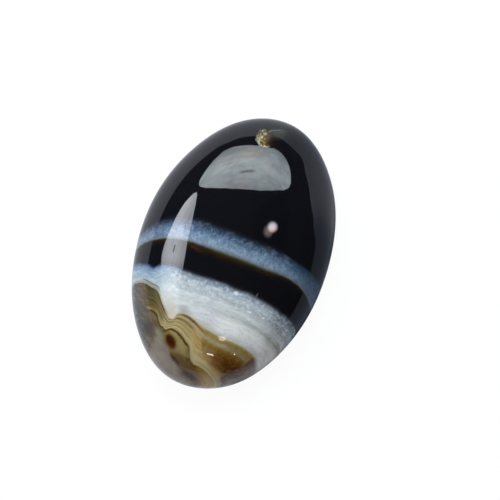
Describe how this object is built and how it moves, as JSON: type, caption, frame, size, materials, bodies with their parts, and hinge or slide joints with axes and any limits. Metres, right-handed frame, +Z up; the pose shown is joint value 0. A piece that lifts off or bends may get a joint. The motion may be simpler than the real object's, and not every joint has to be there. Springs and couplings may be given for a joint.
{
  "type": "banded agate cabochon",
  "caption": "Oval polished cabochon of black, white and brown banded sulemani agate, with a high dome, a small natural pit and a flat spot to rest on.",
  "frame": {"origin": "middle of the flat spot that the stone rests on, under the middle of its oval outline", "axes": "+Z up through the crown of the dome, +Y along the stone towards the black end with the pit, +X across it"},
  "size_m": [0.017, 0.025, 0.0072],
  "materials": {
    "polished_agate": "high polish over black, grey-blue, white and olive-brown bands"
  },
  "bodies": {
    "root": {"agate": "polished_agate"}
  },
  "joints": []
}
